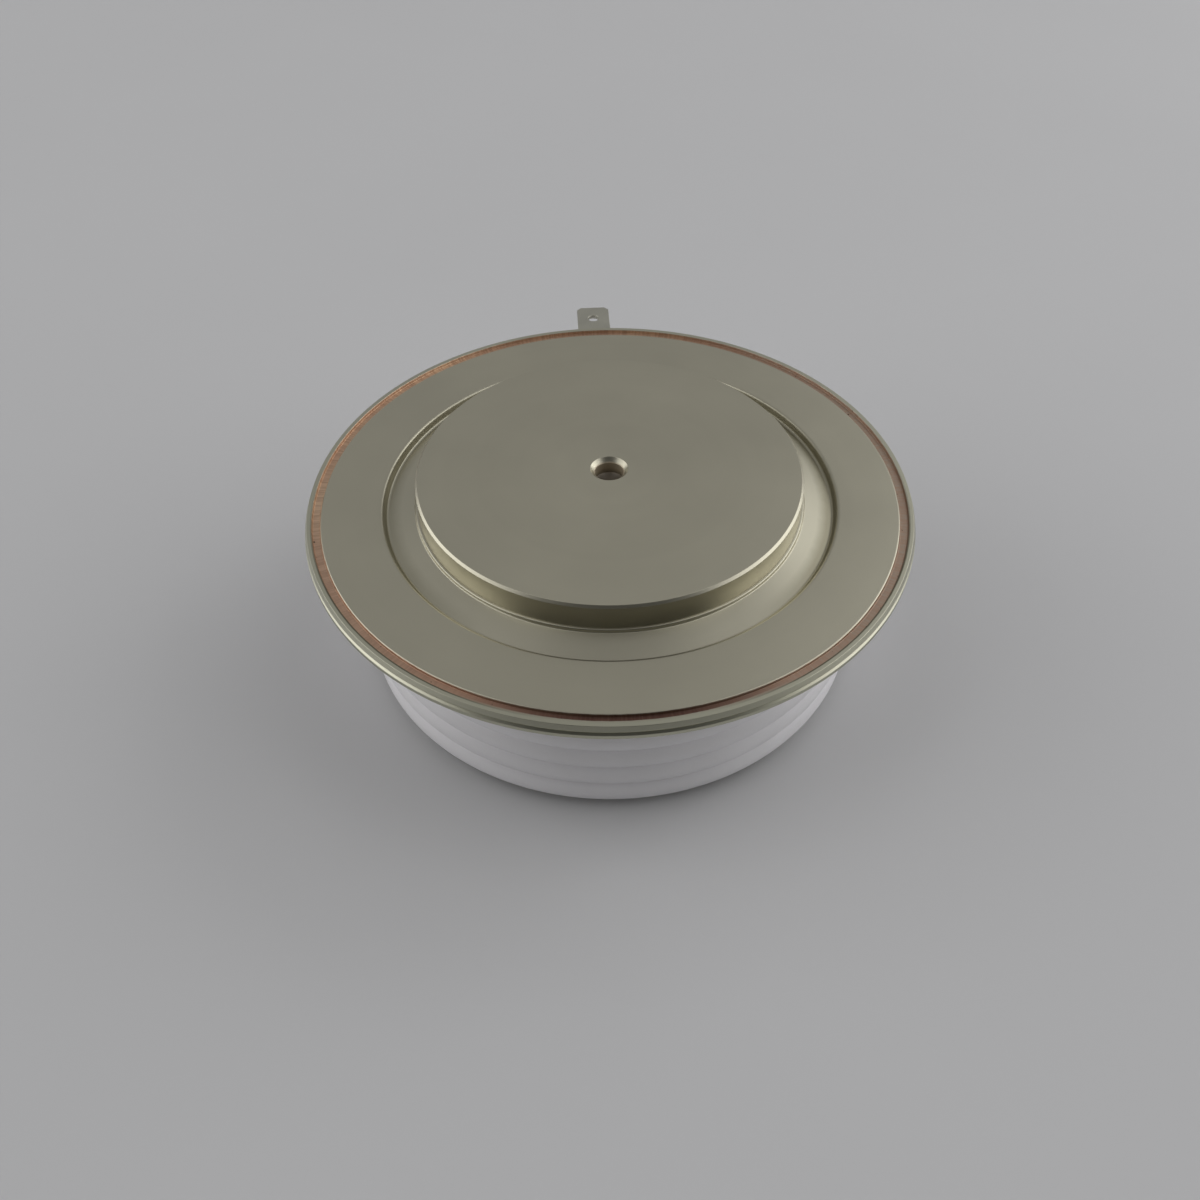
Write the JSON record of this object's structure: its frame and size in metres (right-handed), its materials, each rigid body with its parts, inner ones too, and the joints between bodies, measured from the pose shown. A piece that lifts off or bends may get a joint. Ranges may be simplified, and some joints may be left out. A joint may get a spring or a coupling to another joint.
{
  "type": "disc thyristor",
  "caption": "Capsule thyristor with a ribbed ceramic housing, plated copper contact faces above and below, a thin welded flange and tab terminals for cathode and gate.",
  "frame": {"origin": "middle of the anode (lower) contact face", "axes": "+Z along the capsule's axis from the anode face to the cathode face, +Y towards the cathode's tab terminal"},
  "size_m": [0.0745, 0.0823, 0.026],
  "materials": {
    "alumina": "white alumina, matt, unglazed",
    "nickel_pole": "satin nickel plating on turned copper",
    "nickel_flange": "satin nickel plating on copper sheet, bare copper in the weld groove",
    "nickel_tab": "satin nickel",
    "silver": "soft silver",
    "molybdenum": "lapped molybdenum",
    "silicon": "lapped silicon with an aluminium contact",
    "silicone_rubber": "translucent silicone rubber",
    "white_plastic": "white fluoropolymer",
    "spring_steel": "plain spring wire"
  },
  "bodies": {
    "root": {"ceramic_housing": "alumina", "weld_flange": "nickel_flange", "cathode_flange": "nickel_flange", "cathode_pole_piece": "nickel_pole", "anode_pole_piece": "nickel_pole", "anode_flange": "nickel_flange", "anode_foil": "silver", "anode_molybdenum_disc": "molybdenum", "silicon_wafer": "silicon", "junction_coating": "silicone_rubber", "cathode_molybdenum_disc": "molybdenum", "cathode_foil": "silver", "locating_ring": "white_plastic", "gate_contact_pin": "silver", "gate_guide_ring": "white_plastic", "gate_spring": "spring_steel", "gate_insulator": "white_plastic", "gate_lead": "silver", "gate_lead_sleeve": "white_plastic", "gate_tube": "nickel_tab", "gate_eyelet": "nickel_tab", "gate_terminal_tab": "nickel_tab", "cathode_terminal_tab": "nickel_tab"}
  },
  "joints": []
}
